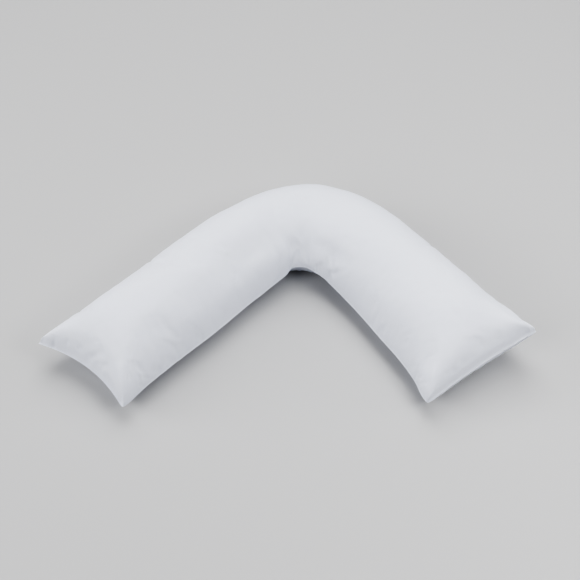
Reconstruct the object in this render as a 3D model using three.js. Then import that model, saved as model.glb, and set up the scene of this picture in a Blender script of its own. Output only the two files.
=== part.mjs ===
// A V shaped bed pillow lying flat: one filled cotton cushion with two arms and a rounded elbow.
// Millimetres, +Z up, standing on Z = 0 with its box centred over the origin.
// +X runs across the two arms, and +Y runs from the open mouth of the V to its elbow.
//
// The cushion is a loft. A centreline runs down the left arm, round the elbow and down the right
// arm. Each section across it goes from the inner seam to the outer seam, with a crowned top
// and an underside that is pressed flat where it lies.

import * as THREE from 'three';
import { ParametricGeometry } from 'three/addons/geometries/ParametricGeometry.js';
import { mergeVertices } from 'three/addons/utils/BufferGeometryUtils.js';

// Centreline: where the two arms' middle lines would meet, how far each arm falls below the
// X axis, and the radius that rounds the elbow.
const CORNER = { x: 56.06, y: 290.63 };
const LEFT_ARM_ANGLE = THREE.MathUtils.degToRad(47.4);
const RIGHT_ARM_ANGLE = THREE.MathUtils.degToRad(55.4);
const ELBOW_RADIUS = 170;

// One row for each section, from the left arm's end to the right arm's end. Along is measured
// from the top of the elbow; outer and inner are the reaches of the two seams from the
// centreline; outerSeam and innerSeam are the seams' heights; crown is the top of the cushion.
const SECTIONS = [
  { along: -647, outer: 131, inner: 113, outerSeam: 60, innerSeam: 38, crown: 160 },
  { along: -622, outer: 127, inner: 110, outerSeam: 60, innerSeam: 40, crown: 161 },
  { along: -570, outer: 115, inner: 103, outerSeam: 60, innerSeam: 45, crown: 162 },
  { along: -480, outer: 111, inner: 104, outerSeam: 68, innerSeam: 60, crown: 164 },
  { along: -370, outer: 111, inner: 105, outerSeam: 68, innerSeam: 60, crown: 164 },
  { along: -260, outer: 111, inner: 104, outerSeam: 68, innerSeam: 60, crown: 165 },
  { along: -170, outer: 107, inner: 108, outerSeam: 68, innerSeam: 64, crown: 166 },
  { along: -90, outer: 103, inner: 102, outerSeam: 68, innerSeam: 80, crown: 166 },
  { along: 0, outer: 114, inner: 107, outerSeam: 68, innerSeam: 82, crown: 165 },
  { along: 90, outer: 110, inner: 114, outerSeam: 68, innerSeam: 80, crown: 165 },
  { along: 170, outer: 111, inner: 112, outerSeam: 68, innerSeam: 64, crown: 166 },
  { along: 260, outer: 118, inner: 109, outerSeam: 68, innerSeam: 60, crown: 166 },
  { along: 350, outer: 124, inner: 113, outerSeam: 68, innerSeam: 58, crown: 167 },
  { along: 430, outer: 128, inner: 116, outerSeam: 66, innerSeam: 50, crown: 167 },
  { along: 490, outer: 135, inner: 124, outerSeam: 72, innerSeam: 44, crown: 166 },
  { along: 525, outer: 140, inner: 135, outerSeam: 80, innerSeam: 40, crown: 164 },
  { along: 553, outer: 142, inner: 141, outerSeam: 88, innerSeam: 38, crown: 161 },
];

// The short end seams are drawn in between the corners (bow) and lie a little askew (skew).
// The drawing-in dies out over fade.
const LEFT_END = { bow: 26, skew: -12, fade: 150, topRound: 100, baseRound: 135 };
const RIGHT_END = { bow: 11, skew: -7, fade: 150, topRound: 125, baseRound: 135 };

// How square and how full an arm's end is as it rises from its seam.
const END_SQUARENESS = 2.2;
const END_FULLNESS = 0.6;

// The section's outline: how square it is, how full the top and the underside are, and how far
// the underside would hang below the seams if nothing held it up.
const SECTION_SQUARENESS = 2.4;
const TOP_FULLNESS = 0.66;
const BASE_FULLNESS = 0.6;
const BASE_DEPTH = 95;
// The height over which the underside turns from its round flank into the flat it rests on.
const BASE_TURN = 14;

// The filling's opening is closed by a narrow flat edge that stands out at the left end. Its
// thickness runs out to nothing in the two corners, cornerRise times as fast as a parabola.
const CLOSING_EDGE = { width: 6, halfThickness: 1.1, cornerRise: 3 };

// The inner corner of the V pulls the top down in a soft valley: its place along the elbow, its
// half width, its depth, and the shares of the way across at which it starts and ends.
const VALLEY = { along: -10, halfWidth: 30, depth: 10, reach: 0.45, start: 0.08 };

const STEPS_ALONG = 100;
const STEPS_ACROSS = 14;
const WELD_DISTANCE = 0.01;

const COTTON_WHITE = 0xdfe1e5;

// A cubic through one column of the table, with the slope at each row taken from its neighbours.
function fromTable(column, along) {
  const last = SECTIONS.length - 1;
  const at = (row) => SECTIONS[row].along;
  const value = (row) => SECTIONS[row][column];
  const slope = (row) => {
    const before = Math.max(row - 1, 0);
    const after = Math.min(row + 1, last);
    return (value(after) - value(before)) / (at(after) - at(before));
  };
  let row = 0;
  while (row < last - 1 && along > at(row + 1)) {
    row += 1;
  }
  const span = at(row + 1) - at(row);
  const part = (along - at(row)) / span;
  const square = part * part;
  const cube = square * part;
  return value(row) * (2 * cube - 3 * square + 1)
    + slope(row) * span * (cube - 2 * square + part)
    + value(row + 1) * (3 * square - 2 * cube)
    + slope(row + 1) * span * (cube - square);
}

// The centreline: two straight arms joined by an arc. Returns the point, the direction out to
// the outer seam and the direction onward to the right arm's end.
function centreline(along) {
  const leftArm = new THREE.Vector2(-Math.cos(LEFT_ARM_ANGLE), -Math.sin(LEFT_ARM_ANGLE));
  const rightArm = new THREE.Vector2(Math.cos(RIGHT_ARM_ANGLE), -Math.sin(RIGHT_ARM_ANGLE));
  const inward = leftArm.clone().add(rightArm).normalize();
  const turn = LEFT_ARM_ANGLE + RIGHT_ARM_ANGLE;
  const bendCentre = inward.clone().multiplyScalar(ELBOW_RADIUS / Math.cos(turn / 2));
  bendCentre.x += CORNER.x;
  bendCentre.y += CORNER.y;
  const halfBend = ELBOW_RADIUS * turn / 2;
  const onBend = THREE.MathUtils.clamp(along, -halfBend, halfBend);
  const angle = Math.atan2(-inward.y, -inward.x) - onBend / ELBOW_RADIUS;
  const outward = new THREE.Vector2(Math.cos(angle), Math.sin(angle));
  const onward = new THREE.Vector2(outward.y, -outward.x);
  const point = bendCentre.clone()
    .addScaledVector(outward, ELBOW_RADIUS)
    .addScaledVector(onward, along - onBend);
  return { point, outward, onward };
}

// 0 at an arm's end, rising to 1 where the arm has its full thickness.
function swell(fromEnd, roundOver) {
  const part = THREE.MathUtils.clamp(fromEnd / roundOver, 0, 1);
  return Math.pow(1 - Math.pow(1 - part, END_SQUARENESS), END_FULLNESS);
}

// How far an end seam's drawing-in and askew lie move a point along the arm.
function drawnIn(end, fromEnd, across) {
  const strength = Math.pow(THREE.MathUtils.clamp(1 - fromEnd / end.fade, 0, 1), 2);
  return strength * (end.bow * 4 * across * (1 - across) + end.skew * (across - 0.5));
}

// Half the thickness of the flat closing edge: round at its rim, then even over its width.
function closingEdge(fromLeft, across) {
  const rim = CLOSING_EDGE.halfThickness * 2;
  const part = THREE.MathUtils.clamp(fromLeft / rim, 0, 1);
  const roundRim = Math.sqrt(1 - (1 - part) * (1 - part));
  const fade = THREE.MathUtils.clamp(2 - fromLeft / CLOSING_EDGE.width, 0, 1);
  const corners = Math.min(1, CLOSING_EDGE.cornerRise * 4 * across * (1 - across));
  return CLOSING_EDGE.halfThickness * roundRim * fade * corners;
}

function valley(along, across) {
  const off = (along - VALLEY.along) / VALLEY.halfWidth;
  const reach = THREE.MathUtils.clamp(1 - across / VALLEY.reach, 0, 1);
  const start = Math.min(1, across / VALLEY.start);
  return VALLEY.depth * Math.exp(-off * off) * reach * start;
}

// The underside: a round flank that turns into the flat at Z = 0 over BASE_TURN.
function restOnFloor(height) {
  if (height > BASE_TURN) {
    return height;
  }
  if (height < -BASE_TURN) {
    return 0;
  }
  return Math.pow(height + BASE_TURN, 2) / (4 * BASE_TURN);
}

// One point of the cushion's skin. along is in millimetres, across goes from the inner seam at 0
// to the outer seam at 1, and onTop picks the top or the underside.
function skinPoint(along, across, onTop) {
  const fromLeft = along - SECTIONS[0].along;
  const fromRight = SECTIONS[SECTIONS.length - 1].along - along;
  const inner = fromTable('inner', along);
  const outer = fromTable('outer', along);
  const innerSeam = fromTable('innerSeam', along);
  const outerSeam = fromTable('outerSeam', along);
  const { point, outward, onward } = centreline(along);
  const shift = drawnIn(LEFT_END, Math.max(fromLeft - CLOSING_EDGE.width, 0), across)
    - drawnIn(RIGHT_END, fromRight, across);
  const place = point.clone()
    .addScaledVector(outward, -inner + (inner + outer) * across)
    .addScaledVector(onward, shift);
  const seam = innerSeam * (1 - across) + outerSeam * across;
  const bulge = Math.max(0, 1 - Math.pow(Math.abs(2 * across - 1), SECTION_SQUARENESS));
  const filled = Math.max(fromLeft - CLOSING_EDGE.width, 0);
  const edge = closingEdge(fromLeft, across);
  if (onTop) {
    const rise = fromTable('crown', along) - (innerSeam + outerSeam) / 2;
    const ends = swell(filled, LEFT_END.topRound) * swell(fromRight, RIGHT_END.topRound);
    const top = seam + rise * ends * Math.pow(bulge, TOP_FULLNESS) + edge;
    return new THREE.Vector3(place.x, place.y, top - valley(along, across));
  }
  const ends = swell(filled, LEFT_END.baseRound) * swell(fromRight, RIGHT_END.baseRound);
  const base = seam - BASE_DEPTH * ends * Math.pow(bulge, BASE_FULLNESS) - edge;
  return new THREE.Vector3(place.x, place.y, restOnFloor(base));
}

// The closed skin: the first parameter runs along the underside from the inner seam to the outer
// and back over the top, and the second runs along the arms, with short steps at their ends.
function cushionGeometry() {
  const start = SECTIONS[0].along;
  const length = SECTIONS[SECTIONS.length - 1].along - start;
  const eased = (part) => (1 - Math.cos(Math.PI * part)) / 2;
  const skin = (round, along, target) => {
    const onTop = round > 0.5;
    const across = eased(onTop ? 2 - 2 * round : 2 * round);
    target.copy(skinPoint(start + length * eased(along), across, onTop));
  };
  const geometry = new ParametricGeometry(skin, 2 * STEPS_ACROSS, STEPS_ALONG);
  geometry.deleteAttribute('normal');
  geometry.deleteAttribute('uv');
  const closed = mergeVertices(geometry, WELD_DISTANCE);
  closed.computeVertexNormals();
  return closed;
}

const cotton = new THREE.MeshStandardMaterial({ color: COTTON_WHITE, roughness: 0.9, metalness: 0 });

const pillow = new THREE.Mesh(cushionGeometry(), cotton);
pillow.name = 'pillow';

const vPillow = new THREE.Group();
vPillow.add(pillow);

export default vPillow;
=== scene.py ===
# A V shaped bed pillow of white cotton, lying on a pale studio floor. Metres, +Z up, in the
# part's own frame: +X across the two arms, +Y from the open mouth of the V to its elbow.
import math

import bpy
import numpy as np
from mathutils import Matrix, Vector


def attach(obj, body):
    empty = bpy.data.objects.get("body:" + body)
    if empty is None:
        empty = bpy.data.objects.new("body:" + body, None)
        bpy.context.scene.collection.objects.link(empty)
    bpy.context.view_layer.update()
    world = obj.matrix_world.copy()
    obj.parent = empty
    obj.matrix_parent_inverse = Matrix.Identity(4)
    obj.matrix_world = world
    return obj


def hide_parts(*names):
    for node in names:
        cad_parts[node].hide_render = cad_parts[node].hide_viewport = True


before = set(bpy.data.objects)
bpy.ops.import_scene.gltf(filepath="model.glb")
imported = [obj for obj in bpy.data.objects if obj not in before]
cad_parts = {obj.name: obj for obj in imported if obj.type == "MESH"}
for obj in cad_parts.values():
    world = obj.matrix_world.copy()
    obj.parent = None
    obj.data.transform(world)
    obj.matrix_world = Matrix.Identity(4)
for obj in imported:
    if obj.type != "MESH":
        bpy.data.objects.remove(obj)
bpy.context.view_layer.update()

MM = 0.001

# The cut of the pillow, in millimetres in the table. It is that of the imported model, except that
# the inner seam lies lower and the underside is tucked in along it, some sections reach a few
# millimetres more or less to the sides, the arms' ends rise and hang otherwise behind their seams,
# the right end is drawn in a little less, and the closing edge is narrower.
CORNER = np.array([56.06, 290.63]) * MM
LEFT_ARM_ANGLE = math.radians(47.4)
RIGHT_ARM_ANGLE = math.radians(55.4)
ELBOW_RADIUS = 170 * MM
COLUMNS = ("along", "outer", "inner", "outer_seam", "inner_seam", "crown")
SECTIONS = np.array([
    (-647, 131, 113, 60, 38, 160),
    (-622, 125.5, 111, 60, 38, 161),
    (-570, 120.5, 107, 60, 40, 162),
    (-480, 108.5, 107, 68, 42, 164),
    (-370, 107, 109, 68, 42, 164),
    (-260, 107, 106, 68, 42, 165),
    (-170, 103, 111, 68, 50, 166),
    (-130, 95, 112, 68, 54, 166),
    (-90, 97, 107, 68, 59, 166),
    (0, 112, 113, 68, 61, 165),
    (50, 111, 119, 68, 61, 165),
    (90, 106, 120, 68, 59, 165),
    (130, 105, 117, 68, 54, 165),
    (170, 110.5, 113, 68, 50, 166),
    (260, 116, 108.5, 68, 42, 166),
    (350, 123, 113, 68, 42, 167),
    (430, 128, 116, 66, 40, 167),
    (490, 135, 124, 72, 38, 166),
    (525, 136, 135, 80, 38, 164),
    (553, 140, 141, 88, 38, 161),
]) * MM
START = SECTIONS[0, 0]
FINISH = SECTIONS[-1, 0]

# The short end seams: how far they are drawn in and lie askew, and over what distance; then the
# distance over which the top and the underside reach their full height, and how steeply.
LEFT_END = dict(bow=26 * MM, skew=-12 * MM, fade=150 * MM, top_round=230 * MM, top_fullness=0.41,
                base_round=135 * MM, base_fullness=0.95)
RIGHT_END = dict(bow=8 * MM, skew=-7 * MM, fade=150 * MM, top_round=200 * MM, top_fullness=0.4,
                 base_round=135 * MM, base_fullness=0.8)

# How square an arm's end and a section are, how full a section's top and underside are, how far the
# underside would hang below the seams, and the height over which it turns into the flat.
END_SQUARENESS = 2.2
SECTION_SQUARENESS = 2.4
TOP_FULLNESS = 0.66
BASE_FULLNESS = 0.6
BASE_DEPTH = 95 * MM
BASE_TURN = 14 * MM

# The flat edge that closes the left end: its width, half its thickness, and how fast it gets thick
# away from the two corners.
CLOSING_EDGE = dict(width=4 * MM, half=1.0 * MM, corner_rise=3)

# The valley in the top above the inner corner of the V: its place along the elbow, its half width
# and depth, and the shares of the way across at which it ends and is at its deepest.
VALLEY = dict(along=-10 * MM, half_width=30 * MM, depth=10 * MM, reach=0.45, start=0.08)

# Along the inner seam the underside is tucked in: how far across, how much leaner it is there, and
# how much more so in the inner corner of the V, with the corner's half width.
TUCK = dict(reach=0.5, amount=0.6, corner_amount=0.7, half_width=130 * MM)

# The grid of the cloth before it is filled: steps each way, the share to which they shorten at the
# arms' ends and over what distance, how many places they are picked from, and how much thinner the
# unfilled cushion is.
STEPS_ALONG = 200
STEPS_ACROSS = 48
END_STEP = 0.3
END_REACH = 110 * MM
TRIAL_PLACES = 4001
UNFILLED = 7 * MM

# The filling: air pressure against the cloth, which has 0.6 percent to spare and puckers with it,
# the cloth's weight and stiffness, and the steps of the simulation.
CLOTH = dict(uniform_pressure_force=4.0, shrink_min=-0.006, quality=6, mass=0.2,
             tension_stiffness=60, compression_stiffness=15, shear_stiffness=15,
             bending_stiffness=0.5)
FILLING_STEPS = 20
# How far the filling may move a point of the top and of the underside, and how that shrinks from
# some distance behind the seam to a share of it at the seam.
TOP_CAP = 10 * MM
BASE_CAP = 4 * MM
CAP_REACH = 50 * MM
CAP_AT_SEAM = 0.1

# The seam's narrow edge: its width, half its thickness, and its rings as shares of the width.
EDGE_WIDTH = 1.1 * MM
EDGE_HALF = 0.5 * MM
EDGE_RINGS = np.array([1.0, 0.8, 0.4])

# How much is cut off each corner, by its row and column in the grid, the number of rows over which
# the seam's direction at a corner is taken, and how far the cut reaches.
CORNER_CUTS = {(0, 0): 6 * MM, (-1, 0): 6 * MM, (0, -1): 2 * MM, (-1, -1): 2 * MM}
CORNER_SPAN = 30
CORNER_REACH = 60 * MM

# Soft hollows in the top, and ridges, whose depth is below zero: the line's places, each as along
# in millimetres and the share of the way across, then half the width and the depth.
HOLLOWS = (
    (((-300, 0.27), (-205, 0.23), (-90, 0.15)), 38 * MM, 8 * MM),
    (((-85, 0), (-58, 0.045), (-30, 0.114)), 17 * MM, 6 * MM),
    (((0, 0.12), (110, 0.11), (215, 0.14)), 15 * MM, 4.5 * MM),
    (((-610, 0.1), (-350, 0.09), (-60, 0.09)), 17 * MM, -2.5 * MM),
    (((-260, 0.09), (-120, 0.08), (-30, 0.07)), 16 * MM, -3.5 * MM),
    (((20, 0.1), (200, 0.13), (420, 0.14)), 24 * MM, -2 * MM),
    (((-549, 0.259), (-438, 0.091)), 18 * MM, 1.5 * MM),
    (((526, 0.775), (546, 0.958)), 12 * MM, -3 * MM),
    (((-640, 0.051), (-608, 0.217)), 10 * MM, -2.5 * MM),
    (((544, 0.016), (514, 0.155)), 12 * MM, -2.5 * MM),
)

# Folds that start at the seam, in the same columns: those of the inner corner, of the right arm's
# inner edge, of the left arm's inner edge, of the left end and of the right arm's outer corner.
PUCKERS = (
    (((70, 0), (127, 0.032)), 3.5 * MM, 2.6 * MM),
    (((150, 0), (181, 0.052), (200, 0.09)), 4 * MM, 2.6 * MM),
    (((303, 0), (342, 0.042)), 5 * MM, 1.2 * MM),
    (((341, 0.008), (368, 0.035)), 4 * MM, 2 * MM),
    (((483, 0), (497, 0.035)), 4 * MM, 1.6 * MM),
    (((-309, 0.006), (-350, 0.039)), 4 * MM, 1.4 * MM),
    (((-398, 0.006), (-440, 0.035)), 5 * MM, 1.8 * MM),
    (((-523, 0.004), (-557, 0.031)), 4 * MM, 1.2 * MM),
    (((-643, 0.879), (-638, 0.830)), 3.5 * MM, 2 * MM),
    (((-640, 0.767), (-636, 0.733)), 3.5 * MM, 2 * MM),
    (((-640, 0.651), (-634, 0.584)), 3.5 * MM, 2 * MM),
    (((-640, 0.515), (-629, 0.407)), 3.5 * MM, 2 * MM),
    (((-640, 0.368), (-625, 0.267)), 3.5 * MM, 2 * MM),
    (((552, 0.940), (550, 0.791)), 5 * MM, 3 * MM),
)
# A fold's two ridges: their distance from its groove as a share of its half width and their height
# as a share of its depth; then the share of its length over which it deepens.
RIDGE_AT = 1.7
RIDGE_SHARE = 0.4
PUCKER_START = 0.15

# Lumps of the filling: shortest and longest wave, and height. They fade over the last stretch
# before the seam. The underside takes its waves from another place.
WAVES = 12
LUMP_SEED = 7
LUMPS = ((70 * MM, 160 * MM, 0.9 * MM), (22 * MM, 45 * MM, 0.22 * MM))
LOOSE_BEHIND = 18 * MM
UNDERSIDE_OFFSET = (0.31, 0.17)

# Fine gathers along the seam: shortest and longest wave, how they come in groups and how much they
# change within one, their height at the outer and the inner edge, and how they rise and die out
# behind the seam.
GATHER_SEED = 11
GATHER_LENGTHS = (15 * MM, 36 * MM)
GATHER_GROUP = 150 * MM
GATHER_CHANGE = 0.4
GATHER_OUTER = 0.35 * MM
GATHER_INNER = 0.5 * MM
GATHER_RISE = 3 * MM
GATHER_REACH = 14 * MM

# The row of stitches that closes the left end: the step from one to the next, how far the row
# stays from the corners, half of a stitch's length, width and height, and its sides and rings.
STITCH_STEP = 4.2 * MM
STITCH_MARGIN = 14 * MM
STITCH_HALF = np.array([1.5, 0.5, 0.4]) * MM
STITCH_SIDES = 6
STITCH_RINGS = 3

# The cotton: thread spacing and the height of the weave; the thicker threads' height as a share of
# it, how finely they are spread, how long they are, and the range of the two ways' sum; the faint
# creases; then how finely the whiteness changes, the two ends of whiteness and roughness, the
# share of each in the tone, the gloss and the sheen.
THREAD_PITCH = 0.7 * MM
WEAVE_HEIGHT = 0.07 * MM
SLUB_HEIGHT = 1.2
SLUB_SCALE = 160.0
SLUB_STRETCH = (1.0, 12.0)
SLUB_DETAIL = 1
SLUB_RANGE = (0.6, 1.4)
CREASE_SCALE = 70.0
CREASE_DETAIL = 3
CREASE_HEIGHT = 0.35 * MM
TONE_SCALE = 14.0
TONE_DETAIL = 2
HALF_EACH = 0.5
WHITE_LOW = (0.785, 0.814, 0.908, 1)
WHITE_HIGH = (0.826, 0.854, 0.946, 1)
ROUGHNESS = (0.82, 0.95)
GLOSS = 0.2
SHEEN = 0.15
SHEEN_ROUGHNESS = 0.45

# Keeps divisors above zero.
TINY = 1e-12


def from_table(column, along):
    """A cubic through one column of the sections, with the slope at each row taken from its
    neighbours on both sides."""
    at = SECTIONS[:, 0]
    value = SECTIONS[:, COLUMNS.index(column)]
    last = len(at) - 1
    rows = np.arange(last + 1)
    before = np.maximum(rows - 1, 0)
    after = np.minimum(rows + 1, last)
    slope = (value[after] - value[before]) / (at[after] - at[before])
    row = np.clip(np.searchsorted(at, along) - 1, 0, last - 1)
    span = at[row + 1] - at[row]
    part = (along - at[row]) / span
    square = part ** 2
    cube = part ** 3
    return (value[row] * (2 * cube - 3 * square + 1)
            + slope[row] * span * (cube - 2 * square + part)
            + value[row + 1] * (3 * square - 2 * cube)
            + slope[row + 1] * span * (cube - square))


def centreline(along):
    """Two straight arms joined by an arc about the bend's centre. Gives the point, the direction
    out to the outer seam, and the direction onward to the right arm's end."""
    left_arm = np.array([-math.cos(LEFT_ARM_ANGLE), -math.sin(LEFT_ARM_ANGLE)])
    right_arm = np.array([math.cos(RIGHT_ARM_ANGLE), -math.sin(RIGHT_ARM_ANGLE)])
    inward = (left_arm + right_arm) / np.linalg.norm(left_arm + right_arm)
    turn = LEFT_ARM_ANGLE + RIGHT_ARM_ANGLE
    bend_centre = CORNER + inward * ELBOW_RADIUS / math.cos(turn / 2)
    half_bend = ELBOW_RADIUS * turn / 2
    on_bend = np.clip(along, -half_bend, half_bend)
    angle = math.atan2(-inward[1], -inward[0]) - on_bend / ELBOW_RADIUS
    outward = np.stack([np.cos(angle), np.sin(angle)], -1)
    onward = np.stack([outward[..., 1], -outward[..., 0]], -1)
    point = bend_centre + outward * ELBOW_RADIUS + onward * (along - on_bend)[..., None]
    return point, outward, onward


def swell(from_end, round_over, fullness):
    """0 at an arm's end, rising along a superellipse to 1 where the arm has its full thickness."""
    part = np.clip(from_end / round_over, 0, 1)
    return (1 - (1 - part) ** END_SQUARENESS) ** fullness


def top_swell(end, from_end):
    """The swell of the top behind an arm's end."""
    return swell(from_end, end["top_round"], end["top_fullness"])


def base_swell(end, from_end):
    """The swell of the underside behind an arm's end."""
    return swell(from_end, end["base_round"], end["base_fullness"])


def both(one, other):
    """Joins two shares so that the corners stay full: the product of the two over the square root
    of the sum of their squares less the square of their product."""
    square = one ** 2 + other ** 2 - (one * other) ** 2
    return one * other / np.sqrt(np.maximum(square, TINY))


def drawn_in(end, from_end, across):
    """How far an end seam's drawing-in and its askew lie move a point along the arm: a parabola
    and a slope across the arm, both dying out with the square of the distance."""
    strength = np.clip(1 - from_end / end["fade"], 0, 1) ** 2
    return strength * (end["bow"] * 4 * across * (1 - across) + end["skew"] * (across - 0.5))


def closing_edge(from_left, across):
    """Half the thickness of the flat closing edge: a quarter circle at its rim, then even over
    its width, then run out to nothing, and thin in the two corners."""
    round_rim = np.sqrt(1 - (1 - np.clip(from_left / (2 * CLOSING_EDGE["half"]), 0, 1)) ** 2)
    fade = np.clip(2 - from_left / CLOSING_EDGE["width"], 0, 1)
    corners = np.minimum(1, CLOSING_EDGE["corner_rise"] * 4 * across * (1 - across))
    return CLOSING_EDGE["half"] * round_rim * fade * corners


def valley(along, across):
    """The valley that the V's inner corner pulls into the top: a bell curve along the elbow,
    fading in a straight line on its way across."""
    off = (along - VALLEY["along"]) / VALLEY["half_width"]
    reach = np.clip(1 - across / VALLEY["reach"], 0, 1)
    start = np.minimum(1, across / VALLEY["start"])
    return VALLEY["depth"] * np.exp(-off ** 2) * reach * start


def rest_on_floor(height):
    """The underside's height: as it is above the turn, nothing below it, and a parabola between."""
    turned = (height + BASE_TURN) ** 2 / (4 * BASE_TURN)
    return np.where(height > BASE_TURN, height, np.where(height < -BASE_TURN, 0, turned))


def skin(along, across, on_top, thinner=0.0):
    """The cushion's skin. Each section runs from the inner seam to the outer seam, and rises or
    hangs from them by a superellipse that is cut short at the arms' ends. The underside's tuck
    fades in a straight line across, and along the elbow with the fourth power of the distance in
    an exponential. thinner takes the top down and the underside up."""
    from_left = along - START
    from_right = FINISH - along
    inner = from_table("inner", along)
    outer = from_table("outer", along)
    inner_seam = from_table("inner_seam", along)
    outer_seam = from_table("outer_seam", along)
    point, outward, onward = centreline(along)
    filled = np.maximum(from_left - CLOSING_EDGE["width"], 0)
    shift = drawn_in(LEFT_END, filled, across) - drawn_in(RIGHT_END, from_right, across)
    place = (point + outward * (-inner + (inner + outer) * across)[..., None]
             + onward * shift[..., None])
    seam = inner_seam * (1 - across) + outer_seam * across
    bulge = np.maximum(0, 1 - np.abs(2 * across - 1) ** SECTION_SQUARENESS)
    edge = closing_edge(from_left, across)
    if on_top:
        rise = from_table("crown", along) - (inner_seam + outer_seam) / 2 - thinner
        ends = top_swell(LEFT_END, filled) * top_swell(RIGHT_END, from_right)
        height = seam + rise * both(ends, bulge ** TOP_FULLNESS) + edge - valley(along, across)
    else:
        ends = base_swell(LEFT_END, filled) * base_swell(RIGHT_END, from_right)
        tucked = np.clip(1 - across / TUCK["reach"], 0, 1)
        in_corner = np.exp(-(along / TUCK["half_width"]) ** 4)
        leaner = TUCK["amount"] + TUCK["corner_amount"] * in_corner
        fullness = BASE_FULLNESS + leaner * tucked
        hang = (BASE_DEPTH - thinner) * both(ends, bulge ** fullness)
        height = rest_on_floor(seam - hang - edge)
    return np.concatenate([place, height[..., None]], -1)


def stations(count):
    """Places along the centreline: even steps that shorten towards both ends."""
    fine = np.linspace(START, FINISH, TRIAL_PLACES)
    from_end = np.minimum(fine - START, FINISH - fine)
    wanted = 1 / (END_STEP + (1 - END_STEP) * np.clip(from_end / END_REACH, 0, 1))
    run = np.cumsum(wanted)
    return np.interp(np.linspace(run[0], run[-1], count + 1), run, fine)


def crossings(count):
    """Places from the inner seam at 0 to the outer seam at 1, closest at the two seams."""
    return (1 - np.cos(np.pi * np.linspace(0, 1, count + 1))) / 2


def closed_grid(rows, columns):
    """Point numbers and faces of two grids, top and underside, that share their rim."""
    top = np.arange(rows * columns).reshape(rows, columns)
    inside = np.arange((rows - 2) * (columns - 2)).reshape(rows - 2, columns - 2)
    base = top.copy()
    base[1:-1, 1:-1] = rows * columns + inside
    quads = []
    for grid, order in ((top, (0, 1, 2, 3)), (base, (3, 2, 1, 0))):
        corners = (grid[:-1, :-1], grid[1:, :-1], grid[1:, 1:], grid[:-1, 1:])
        quads.append(np.stack([corners[k] for k in order], -1).reshape(-1, 4))
    return top, base, np.concatenate(quads)


def grid_object(name, top, base):
    """A closed mesh object from the top's and the underside's grid of points."""
    rows, columns = top.shape[:2]
    top_number, base_number, quads = closed_grid(rows, columns)
    points = np.empty((base_number.max() + 1, 3))
    points[base_number] = base
    points[top_number] = top
    mesh = bpy.data.meshes.new(name)
    mesh.from_pydata(points, [], quads)
    mesh.shade_smooth()
    piece = bpy.data.objects.new(name, mesh)
    bpy.context.scene.collection.objects.link(piece)
    return piece, top_number, base_number


def read_points(mesh):
    """The mesh's points as rows of x, y and z."""
    points = np.empty(len(mesh.vertices) * 3)
    mesh.vertices.foreach_get("co", points)
    return points.reshape(-1, 3)


def from_seam(along, across):
    """The shortest way in plan to the seam, which runs round both long edges and both ends."""
    width = from_table("inner", along) + from_table("outer", along)
    to_edge = np.minimum(across, 1 - across) * width
    to_end = np.minimum(along - START, FINISH - along)
    return np.minimum(to_edge, to_end)


def fill_cushion(top, base, top_cap, base_cap):
    """Fills the thin cushion with air pressure: Blender's cloth on the grid, its seam held, then
    each point's way cut to its cap. Gives the filled top and underside."""
    piece, top_number, base_number = grid_object("unfilled", top, base)
    start = read_points(piece.data)
    rim = np.zeros(len(start), bool)
    rim[top_number[[0, -1], :]] = True
    rim[top_number[:, [0, -1]]] = True
    held = piece.vertex_groups.new(name="seam")
    held.add([int(k) for k in np.flatnonzero(rim)], 1.0, "REPLACE")
    cloth = piece.modifiers.new("filling", "CLOTH")
    for name, value in CLOTH.items():
        setattr(cloth.settings, name, value)
    cloth.settings.use_pressure = True
    cloth.settings.effector_weights.gravity = 0
    cloth.settings.vertex_group_mass = "seam"
    cloth.collision_settings.use_collision = False
    cloth.point_cache.frame_start = 1
    cloth.point_cache.frame_end = FILLING_STEPS
    scene = bpy.context.scene
    for step in range(1, FILLING_STEPS + 1):
        scene.frame_set(step)
    filled = piece.evaluated_get(bpy.context.evaluated_depsgraph_get())
    way = read_points(filled.data) - start
    scene.frame_set(1)
    bpy.data.objects.remove(piece)
    length = np.linalg.norm(way, axis=1)
    caps = np.empty(len(start))
    caps[base_number] = base_cap
    caps[top_number] = top_cap
    points = start + way * np.minimum(1, caps / np.maximum(length, TINY))[:, None]
    points[:, 2] = np.maximum(points[:, 2], 0)
    return points[top_number], points[base_number]


def finer(grid):
    """Twice as many steps both ways, each new point on a cubic through its four neighbours: nine
    sixteenths of the two next to it, less one sixteenth of the two beyond."""
    for axis in (0, 1):
        grid = np.moveaxis(grid, axis, 0)
        before = np.concatenate([2 * grid[:1] - grid[1:2], grid[:-2]])
        after = np.concatenate([grid[2:], 2 * grid[-1:] - grid[-2:-1]])
        middle = (9 * (grid[:-1] + grid[1:]) - before - after) / 16
        out = np.empty((2 * len(grid) - 1,) + grid.shape[1:])
        out[::2] = grid
        out[1::2] = middle
        grid = np.moveaxis(out, 0, axis)
    return grid


def away_from(rim, turn):
    """Unit vectors in plan at right angles to a line of points, to its right for turn 1."""
    run = np.gradient(rim, axis=0)
    run /= np.linalg.norm(run, axis=-1, keepdims=True)
    return turn * np.stack([run[:, 1], -run[:, 0]], -1)


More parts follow.
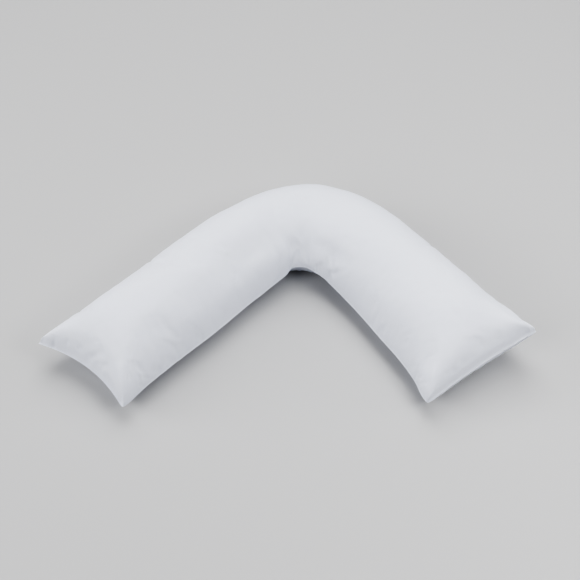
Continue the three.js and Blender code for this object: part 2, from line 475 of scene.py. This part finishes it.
def sewn_edge(grid, lift):
    """Continues a grid past the seam by the narrow edge in which the two cloths lie on each other.
    lift is half the edge's thickness, below zero for the underside; the edge's section is half an
    ellipse."""
    rings = len(EDGE_RINGS)
    plan = grid[..., :2]
    left, right = (np.pad(side, ((rings, rings), (0, 0)), mode="edge")
                   for side in (away_from(plan[0], -1), away_from(plan[-1], 1)))
    inner, outer = (np.pad(side, ((rings, rings), (0, 0)), mode="edge")
                    for side in (away_from(plan[:, 0], 1), away_from(plan[:, -1], -1)))
    wider = np.pad(grid, ((rings, rings), (rings, rings), (0, 0)), mode="edge")
    outward = EDGE_RINGS * EDGE_WIDTH
    push = np.zeros(wider.shape[:2] + (2,))
    push[:rings] += outward[:, None, None] * left
    push[-rings:] += outward[::-1, None, None] * right
    push[:, :rings] += outward[None, :, None] * inner[:, None]
    push[:, -rings:] += outward[None, ::-1, None] * outer[:, None]
    wider[..., :2] += push
    round_off = np.sqrt(1 - EDGE_RINGS ** 2)
    share = np.ones(wider.shape[:2])
    share[:rings] *= round_off[:, None]
    share[-rings:] *= round_off[::-1, None]
    share[:, :rings] *= round_off
    share[:, -rings:] *= round_off[::-1]
    wider[..., 2] += lift * share
    return wider


def blunted(grid):
    """Blunts the four corners in plan: the distance h from a corner, along the line that halves
    it, becomes the square root of h squared and the cut squared."""
    rows, columns = grid.shape[:2]
    for (row, column), cut in CORNER_CUTS.items():
        corner = grid[row, column, :2].copy()
        further_row = CORNER_SPAN if row == 0 else rows - 1 - CORNER_SPAN
        along_seam = grid[further_row, column, :2] - corner
        across_seam = grid[row, columns // 2, :2] - corner
        middle = along_seam / np.linalg.norm(along_seam) + across_seam / np.linalg.norm(across_seam)
        middle /= np.linalg.norm(middle)
        off = grid[..., :2] - corner
        distance = np.maximum(off @ middle, 0)
        near = np.exp(-(np.linalg.norm(off, axis=-1) / CORNER_REACH) ** 2)
        further = near * (np.sqrt(distance ** 2 + cut ** 2) - distance)
        grid[..., :2] += further[..., None] * middle
    return grid


def upward(grid):
    """Unit normals of a grid, from the steps along its rows and its columns."""
    normal = np.cross(np.gradient(grid, axis=0), np.gradient(grid, axis=1))
    return normal / np.maximum(np.linalg.norm(normal, axis=-1, keepdims=True), TINY)


def beside_line(plan, line):
    """Each point's distance in plan from a line of straight parts, and the share of the line's
    length at which its nearest place lies."""
    knots = np.array(line, float)
    places = skin(knots[:, 0] * MM, knots[:, 1], True)[:, :2]
    lengths = np.linalg.norm(np.diff(places, axis=0), axis=1)
    before = np.cumsum(lengths) - lengths
    nearest = np.full(plan.shape[:-1], np.inf)
    share = np.zeros(plan.shape[:-1])
    for start, finish, length, run in zip(places[:-1], places[1:], lengths, before):
        direction = (finish - start) / length
        on_line = np.clip((plan - start) @ direction, 0, length)
        distance = np.linalg.norm(plan - start - on_line[..., None] * direction, axis=-1)
        share = np.where(distance < nearest, (run + on_line) / lengths.sum(), share)
        nearest = np.minimum(distance, nearest)
    return nearest, share


def hollows(plan):
    """The soft hollows and ridges: a bell curve across each line and half a sine along it."""
    sunk = np.zeros(plan.shape[:-1])
    for line, width, depth in HOLLOWS:
        distance, share = beside_line(plan, line)
        sunk += depth * np.exp(-(distance / width) ** 2) * np.sin(np.pi * share)
    return sunk


def puckers(plan):
    """The folds that start at the seam: a bell-shaped groove with a lower ridge on each side,
    deepest near the seam and running out in a straight line."""
    sunk = np.zeros(plan.shape[:-1])
    for line, width, depth in PUCKERS:
        distance, share = beside_line(plan, line)
        groove = np.exp(-(distance / width) ** 2)
        ridge = np.exp(-((distance - RIDGE_AT * width) / width) ** 2)
        along = (1 - share) * np.minimum(1, share / PUCKER_START)
        sunk += depth * (groove - RIDGE_SHARE * ridge) * along
    return sunk


def lumps(plan):
    """The filling's unevenness: plane waves with seeded directions, lengths and phases."""
    chance = np.random.default_rng(LUMP_SEED)
    raised = np.zeros(plan.shape[:-1])
    for shortest, longest, height in LUMPS:
        for _ in range(WAVES):
            heading = chance.uniform(0, 2 * np.pi)
            length = chance.uniform(shortest, longest)
            phase = chance.uniform(0, 2 * np.pi)
            run = plan @ np.array([math.cos(heading), math.sin(heading)])
            raised += height / math.sqrt(WAVES) * np.sin(2 * np.pi * run / length + phase)
    return raised


def gathers(along, across, depth_in):
    """The seam's fine gathers: seeded sines along it, stronger on the inner edge, rising within a
    few millimetres of the seam and dying out behind."""
    chance = np.random.default_rng(GATHER_SEED)
    width = from_table("inner", along) + from_table("outer", along)
    near_end = np.minimum(along - START, FINISH - along) < np.minimum(across, 1 - across) * width
    run = np.where(near_end, across * width, along)
    wave = np.zeros(along.shape)
    for _ in range(WAVES):
        length = chance.uniform(*GATHER_LENGTHS)
        wave += np.sin(2 * np.pi * run / length + chance.uniform(0, 2 * np.pi))
    uneven = (1 - GATHER_CHANGE) + GATHER_CHANGE * np.sin(2 * np.pi * run / GATHER_GROUP)
    strength = GATHER_OUTER + (GATHER_INNER - GATHER_OUTER) * np.clip(1 - 2 * across, 0, 1)
    fade = (1 - np.exp(-depth_in / GATHER_RISE)) * np.exp(-depth_in / GATHER_REACH)
    return strength * uneven * wave / math.sqrt(WAVES) * fade


def flat_panel(grid, along):
    """Where each point lies on the flat cloth, in metres: its way over the cloth from the middle
    line, and at the arms' ends its way over the cloth beyond its way in plan."""
    point, outward, onward = centreline(along)
    step = np.linalg.norm(np.diff(grid, axis=1), axis=-1)
    across_way = np.pad(np.cumsum(step, axis=1), ((0, 0), (1, 0)))
    across_way -= across_way[:, across_way.shape[1] // 2, None]
    steps = np.diff(grid, axis=0)
    longer = np.linalg.norm(steps, axis=-1) - np.linalg.norm(steps[..., :2], axis=-1)
    along_way = np.pad(np.cumsum(longer, axis=0), ((1, 0), (0, 0)))
    along_way -= along_way[np.argmin(np.abs(along[:, 0]))]
    return point + outward * across_way[..., None] + onward * along_way[..., None]


def lay_cloth(mesh, flat):
    """Stores the flat cloth's coordinates as the mesh's UV map."""
    corners = np.empty(len(mesh.loops), np.int32)
    mesh.loops.foreach_get("vertex_index", corners)
    layer = mesh.uv_layers.new(name="cloth")
    layer.data.foreach_set("uv", flat[corners].ravel())


def add_node(tree, kind, inputs, **settings):
    """Adds a shader node; its inputs are filled with values or linked to other nodes' outputs."""
    node = tree.nodes.new(kind)
    for name, value in settings.items():
        setattr(node, name, value)
    for name, value in inputs.items():
        if isinstance(value, bpy.types.NodeSocket):
            tree.links.new(value, node.inputs[name])
        else:
            node.inputs[name].default_value = value
    return node


def cotton():
    """Plain-woven white cotton. The weave is the product of two sines along the cloth's threads;
    thicker threads, faint creases and uneven whiteness come from noise."""
    material = bpy.data.materials.new("cotton_cover")
    material.use_nodes = True
    tree = material.node_tree
    shader = tree.nodes["Principled BSDF"]
    cloth = add_node(tree, "ShaderNodeUVMap", {}, uv_map="cloth").outputs["UV"]
    place = add_node(tree, "ShaderNodeTexCoord", {}).outputs["Object"]
    threads = add_node(tree, "ShaderNodeSeparateXYZ", {"Vector": cloth}).outputs

    def math_node(operation, first, second):
        return add_node(tree, "ShaderNodeMath", {0: first, 1: second},
                        operation=operation).outputs[0]

    def noise(vector, scale, detail):
        return add_node(tree, "ShaderNodeTexNoise",
                        {"Vector": vector, "Scale": scale, "Detail": detail}).outputs["Fac"]

    def stretched(wide, high):
        return add_node(tree, "ShaderNodeVectorMath", {0: cloth, 1: (wide, high, 1)},
                        operation="MULTIPLY").outputs["Vector"]

    def waves(coordinate):
        turned = math_node("MULTIPLY", coordinate, 2 * math.pi / THREAD_PITCH)
        return math_node("SINE", turned, 0)

    weave = math_node("MULTIPLY", waves(threads["X"]), waves(threads["Y"]))
    warp = noise(stretched(*SLUB_STRETCH), SLUB_SCALE, SLUB_DETAIL)
    weft = noise(stretched(*SLUB_STRETCH[::-1]), SLUB_SCALE, SLUB_DETAIL)
    slubs = math_node("ADD", warp, weft)
    surface = math_node("ADD", weave, math_node("MULTIPLY", slubs, SLUB_HEIGHT))
    creases = noise(place, CREASE_SCALE, CREASE_DETAIL)
    broad = add_node(tree, "ShaderNodeBump", {"Height": creases, "Distance": CREASE_HEIGHT,
                                              "Strength": 1.0})
    fine = add_node(tree, "ShaderNodeBump", {"Height": surface, "Distance": WEAVE_HEIGHT,
                                             "Strength": 1.0, "Normal": broad.outputs["Normal"]})
    tone = math_node("ADD", math_node("MULTIPLY", slubs, HALF_EACH),
                     noise(place, TONE_SCALE, TONE_DETAIL))
    white = add_node(tree, "ShaderNodeMixRGB", {"Fac": math_node("MULTIPLY", tone, HALF_EACH),
                                                "Color1": WHITE_LOW, "Color2": WHITE_HIGH})
    rough = add_node(tree, "ShaderNodeMapRange",
                     {"Value": slubs, "From Min": SLUB_RANGE[0], "From Max": SLUB_RANGE[1],
                      "To Min": ROUGHNESS[0], "To Max": ROUGHNESS[1]})
    tree.links.new(white.outputs["Color"], shader.inputs["Base Color"])
    tree.links.new(rough.outputs["Result"], shader.inputs["Roughness"])
    tree.links.new(fine.outputs["Normal"], shader.inputs["Normal"])
    shader.inputs["Specular IOR Level"].default_value = GLOSS
    shader.inputs["Sheen Weight"].default_value = SHEEN
    shader.inputs["Sheen Roughness"].default_value = SHEEN_ROUGHNESS
    return material


def make_cushion(material):
    """The filled cushion with its folds, hollows and seam. Gives its top and underside grids, and
    each point's place along the arms."""
    along, across = np.meshgrid(stations(STEPS_ALONG), crossings(STEPS_ACROSS), indexing="ij")
    freed = np.clip(from_seam(along, across) / CAP_REACH, CAP_AT_SEAM, 1)
    top, base = fill_cushion(skin(along, across, True, UNFILLED), skin(along, across, False),
                             TOP_CAP * freed, BASE_CAP * freed)
    along = finer(along)
    across = finer(across)
    depth_in = np.maximum(from_seam(along, across), 0)
    loose = 1 - np.exp(-(depth_in / LOOSE_BEHIND) ** 2)
    ripple = gathers(along, across, depth_in)
    top = finer(top)
    plan = top[..., :2]
    raised = (lumps(plan) - hollows(plan)) * loose - puckers(plan) + ripple
    top += raised[..., None] * upward(top)
    base = finer(base)
    clear_of_floor = np.clip(base[..., 2] / BASE_TURN, 0, 1)
    lowered = (lumps(base[..., :2] + UNDERSIDE_OFFSET) * loose + ripple) * clear_of_floor
    base -= lowered[..., None] * upward(base)
    top = sewn_edge(blunted(top), EDGE_HALF)
    base = sewn_edge(blunted(base), -EDGE_HALF)
    base[..., 2] = np.maximum(base[..., 2], 0)
    piece, top_number, base_number = grid_object("cushion", top, base)
    rings = len(EDGE_RINGS)
    wider_along = np.pad(along, ((rings, rings), (rings, rings)), mode="edge")
    flat = np.empty((len(piece.data.vertices), 2))
    flat[base_number] = flat_panel(base, wider_along)
    flat[top_number] = flat_panel(top, wider_along)
    lay_cloth(piece.data, flat)
    piece.data.materials.append(material)
    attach(piece, "root")
    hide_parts("pillow")
    return top, base, wider_along


def stitch_row(edge, side):
    """Stitches along a line of points: each is a small ellipsoid laid along the line."""
    run = np.pad(np.cumsum(np.linalg.norm(np.diff(edge, axis=0), axis=1)), (1, 0))
    at = np.arange(STITCH_MARGIN, run[-1] - STITCH_MARGIN, STITCH_STEP)
    ahead, behind, middle = (
        np.stack([np.interp(at + shift, run, edge[:, axis]) for axis in range(3)], -1)
        for shift in (STITCH_STEP / 4, -STITCH_STEP / 4, 0))
    forward = ahead - behind
    forward /= np.linalg.norm(forward, axis=1, keepdims=True)
    sideways = np.cross(forward, (0, 0, 1))
    sideways /= np.linalg.norm(sideways, axis=1, keepdims=True)
    above = np.cross(sideways, forward)
    turn = np.linspace(0, 2 * np.pi, STITCH_SIDES, endpoint=False)
    tilt = np.linspace(-np.pi / 2, np.pi / 2, STITCH_RINGS + 2)[1:-1]
    ring = np.stack([np.sin(tilt)[:, None] + 0 * turn, np.cos(tilt)[:, None] * np.cos(turn),
                     np.cos(tilt)[:, None] * np.sin(turn)], -1).reshape(-1, 3)
    shape = np.concatenate([[(-1, 0, 0)], ring, [(1, 0, 0)]]) * STITCH_HALF
    frames = np.stack([forward, sideways, above], 1)
    laid = middle[:, None] + np.einsum("vk,nkc->nvc", shape, frames)
    return laid + (0, 0, side * STITCH_HALF[2] / 2)


def stitch_faces(count):
    """Faces of count ellipsoids: quads between rings and triangles at the two tips."""
    ring = 1 + np.arange(STITCH_RINGS * STITCH_SIDES).reshape(STITCH_RINGS, STITCH_SIDES)
    after = np.roll(ring, -1, axis=1)
    last = STITCH_RINGS * STITCH_SIDES + 1
    quads = np.stack([ring[:-1], after[:-1], after[1:], ring[1:]], -1).reshape(-1, 4)
    first_tip = np.stack([after[0], ring[0], 0 * ring[0]], -1)
    last_tip = np.stack([ring[-1], after[-1], 0 * ring[-1] + last], -1)
    starts = (last + 1) * np.arange(count)[:, None, None]
    return [faces for shape in (quads, first_tip, last_tip)
            for faces in (shape + starts).reshape(-1, shape.shape[1]).tolist()]


def make_stitches(material, top, base, along):
    """The row of stitches that closes the left end, on both faces of its flat edge."""
    row = np.searchsorted(along[:, 0], START + CLOSING_EDGE["width"] / 2)
    points = np.concatenate([stitch_row(top[row], 1), stitch_row(base[row], -1)])
    mesh = bpy.data.meshes.new("closing_stitches")
    mesh.from_pydata(points.reshape(-1, 3), [], stitch_faces(len(points)))
    mesh.shade_smooth()
    lay_cloth(mesh, points.reshape(-1, 3)[:, :2])
    mesh.materials.append(material)
    piece = bpy.data.objects.new("closing_stitches", mesh)
    bpy.context.scene.collection.objects.link(piece)
    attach(piece, "root")


# The camera, which looks along +Y and down at the pillow: its angle above the floor, its distance
# from its target, the picture's side in pixels, a pixel's size at the target and the sensor's width
# in millimetres.
CAMERA_ELEVATION = math.radians(47)
CAMERA_DISTANCE = 3.0
CAMERA_TARGET = Vector((0.00606, -0.00137, 0.07))
IMAGE_SIZE = 580
PIXEL_AT_TARGET = 2.17 * MM
SENSOR = 36.0

# The faint light from all round, then square soft lights: place, side, power in watts and the
# point that each is aimed at.
WORLD_LIGHT = 0.01
ORIGIN = (0, 0, 0)
LIGHTS = {
    "behind": ((0, 2.0, 3.4), 3, 105, ORIGIN),
    "left": ((-3, 0, 1.2), 1.5, 35, ORIGIN),
    "left_front": ((-2, -2, 2.2), 2, 39, ORIGIN),
    "right": ((3, 0, 1.2), 1.5, 17, ORIGIN),
    "above_right": ((1.2, 0, 2.8), 2, 22, ORIGIN),
    "right_floor": ((1.5, -1.2, 1.8), 1, 22, (1.5, -1.2, 0)),
}

# The floor: half its side, its pale grey, its roughness and its gloss.
FLOOR_HALF = 15.0
FLOOR_GREY = (0.493, 0.493, 0.497, 1)
FLOOR_ROUGHNESS = 0.9
FLOOR_GLOSS = 0.1


def make_camera():
    """The camera, with the lens that gives the wanted size of a pixel at its target."""
    data = bpy.data.cameras.new("camera")
    data.sensor_width = SENSOR
    data.lens = CAMERA_DISTANCE / PIXEL_AT_TARGET * SENSOR / IMAGE_SIZE
    camera = bpy.data.objects.new("camera", data)
    bpy.context.scene.collection.objects.link(camera)
    back = Vector((0, -math.cos(CAMERA_ELEVATION), math.sin(CAMERA_ELEVATION)))
    camera.location = CAMERA_TARGET + back * CAMERA_DISTANCE
    camera.rotation_euler = (math.pi / 2 - CAMERA_ELEVATION, 0, 0)
    bpy.context.scene.camera = camera


def make_lights():
    """The studio's soft lights, and the way in which the picture is developed."""
    world = bpy.data.worlds.new("studio")
    world.use_nodes = True
    background = world.node_tree.nodes["Background"]
    background.inputs["Color"].default_value = (1, 1, 1, 1)
    background.inputs["Strength"].default_value = WORLD_LIGHT
    scene = bpy.context.scene
    scene.world = world
    for name, (place, side, power, target) in LIGHTS.items():
        data = bpy.data.lights.new(name, "AREA")
        data.shape = "SQUARE"
        data.size = side
        data.energy = power
        light = bpy.data.objects.new(name, data)
        light.location = place
        aim = Vector(target) - Vector(place)
        light.rotation_euler = aim.to_track_quat("-Z", "Y").to_euler()
        scene.collection.objects.link(light)
    scene.view_settings.view_transform = "AgX"
    scene.view_settings.look = "AgX - Very High Contrast"


def make_floor():
    """The plain floor on which the pillow lies."""
    mesh = bpy.data.meshes.new("floor")
    corners = [(x * FLOOR_HALF, y * FLOOR_HALF, 0) for x, y in ((-1, -1), (1, -1), (1, 1), (-1, 1))]
    mesh.from_pydata(corners, [], [(0, 1, 2, 3)])
    floor = bpy.data.objects.new("floor", mesh)
    bpy.context.scene.collection.objects.link(floor)
    material = bpy.data.materials.new("studio_floor")
    material.use_nodes = True
    shader = material.node_tree.nodes["Principled BSDF"]
    shader.inputs["Base Color"].default_value = FLOOR_GREY
    shader.inputs["Roughness"].default_value = FLOOR_ROUGHNESS
    shader.inputs["Specular IOR Level"].default_value = FLOOR_GLOSS
    mesh.materials.append(material)


make_camera()
make_lights()
make_floor()
cover = cotton()
top_grid, base_grid, grid_along = make_cushion(cover)
make_stitches(cover, top_grid, base_grid, grid_along)
